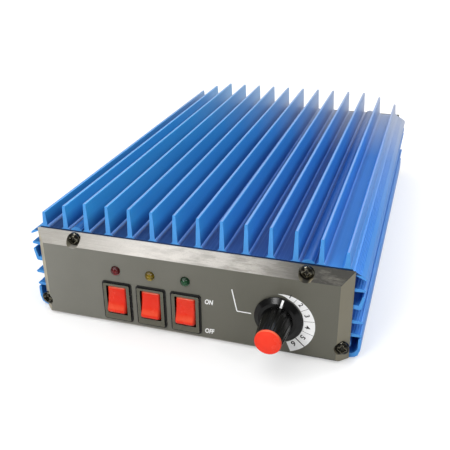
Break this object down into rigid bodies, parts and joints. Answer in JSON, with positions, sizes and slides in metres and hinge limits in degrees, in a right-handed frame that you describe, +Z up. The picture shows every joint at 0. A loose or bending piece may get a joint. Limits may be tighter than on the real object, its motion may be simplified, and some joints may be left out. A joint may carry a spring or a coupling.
{
  "type": "hf linear amplifier",
  "caption": "Flat finned mobile radio amplifier with a bevelled front panel, three red rocker switches, three lamps and a skirted knob.",
  "frame": {"origin": "middle of the base plane, where the unit rests", "axes": "+X to the right seen from the front, +Y from the front panel to the rear panel, +Z up"},
  "size_m": [0.17, 0.2922, 0.063],
  "materials": {
    "blue_anodised": "satin",
    "dark_cover": "satin",
    "zinc_steel": "satin",
    "panel_finish": "satin",
    "black_screw": "gloss",
    "rear_finish": "satin",
    "black_plastic": "gloss",
    "red_plastic": "gloss",
    "plated_brass": "satin",
    "red_lens": "gloss",
    "yellow_lens": "gloss",
    "green_lens": "gloss",
    "tinned_wire": "satin",
    "board_laminate": "satin",
    "knob_black": "gloss",
    "white_paint": "matte",
    "brass": "satin",
    "plated_steel": "satin",
    "phenolic": "satin",
    "nickel": "satin",
    "ivory_plastic": "satin",
    "gold_contact": "gloss",
    "copper": "satin",
    "fuse_glass": "gloss",
    "black_rubber": "matte",
    "ceramic_white": "matte",
    "ferrite": "matte",
    "relay_blue": "satin",
    "iron_core": "satin",
    "can_sleeve": "gloss"
  },
  "bodies": {
    "chassis": {"housing": "blue_anodised", "bottom_cover": "dark_cover", "bottom_cover_screws": "zinc_steel", "front_panel": "panel_finish", "front_panel_screws": "black_screw", "rear_panel": "rear_finish", "rear_panel_screws": "black_screw", "left_switch_body": "black_plastic", "middle_switch_body": "black_plastic", "right_switch_body": "black_plastic", "left_switch_terminals": "plated_brass", "middle_switch_terminals": "plated_brass", "right_switch_terminals": "plated_brass", "red_lamp": "red_lens", "yellow_lamp": "yellow_lens", "green_lamp": "green_lens", "lamp_leads": "tinned_wire", "lamp_board": "board_laminate", "control_bush": "brass", "control_nut": "plated_steel", "control_body": "phenolic", "control_terminals": "plated_brass", "input_socket_shell": "nickel", "output_socket_shell": "nickel", "input_socket_insulator": "ivory_plastic", "output_socket_insulator": "ivory_plastic", "input_socket_contact": "gold_contact", "output_socket_contact": "gold_contact", "socket_screws": "zinc_steel", "socket_leads": "copper", "fuse_holder_1": "black_plastic", "fuse_holder_2": "black_plastic", "fuse_holder_3": "black_plastic", "fuse_holder_nuts": "black_plastic", "supply_grommet": "black_rubber", "main_board": "board_laminate", "board_standoffs": "nickel", "board_screws": "zinc_steel", "power_transistors": "ceramic_white", "transistor_screws": "zinc_steel", "input_transformer": "ferrite", "output_transformer": "ferrite", "input_relay": "relay_blue", "aerial_relay": "relay_blue", "filter_coils": "iron_core", "supply_capacitors": "can_sleeve"},
    "left_rocker": {"left_rocker": "red_plastic"},
    "middle_rocker": {"middle_rocker": "red_plastic"},
    "right_rocker": {"right_rocker": "red_plastic"},
    "knob": {"knob_body": "knob_black", "knob_cap": "red_plastic", "knob_pointer": "white_paint", "knob_collet": "brass", "control_shaft": "plated_steel"},
    "fuse_carrier_1": {"fuse_cap_1": "black_plastic", "fuse_1": "fuse_glass"},
    "fuse_carrier_2": {"fuse_cap_2": "black_plastic", "fuse_2": "fuse_glass"},
    "fuse_carrier_3": {"fuse_cap_3": "black_plastic", "fuse_3": "fuse_glass"}
  },
  "joints": [
    {"name": "left_switch", "type": "hinge", "parent": "chassis", "child": "left_rocker", "pos_m": [-0.0354, -0.1279, 0.0156], "axis": [1, 0, 0], "range_deg": [0, 24]},
    {"name": "middle_switch", "type": "hinge", "parent": "chassis", "child": "middle_rocker", "pos_m": [-0.0172, -0.1279, 0.0156], "axis": [1, 0, 0], "range_deg": [0, 24]},
    {"name": "right_switch", "type": "hinge", "parent": "chassis", "child": "right_rocker", "pos_m": [0.001, -0.1279, 0.0156], "axis": [1, 0, 0], "range_deg": [0, 24]},
    {"name": "knob_turn", "type": "hinge", "parent": "chassis", "child": "knob", "pos_m": [0.0469, -0.1289, 0.0204], "axis": [0, 1, 0], "range_deg": [0, 132]},
    {"name": "fuse_cap_1_turn", "type": "hinge", "parent": "chassis", "child": "fuse_carrier_1", "pos_m": [-0.03, 0.1255, 0.022], "axis": [0, 1, 0], "range_deg": [-90, 0]},
    {"name": "fuse_cap_2_turn", "type": "hinge", "parent": "chassis", "child": "fuse_carrier_2", "pos_m": [-0.008, 0.1255, 0.022], "axis": [0, 1, 0], "range_deg": [-90, 0]},
    {"name": "fuse_cap_3_turn", "type": "hinge", "parent": "chassis", "child": "fuse_carrier_3", "pos_m": [0.014, 0.1255, 0.022], "axis": [0, 1, 0], "range_deg": [-90, 0]}
  ]
}
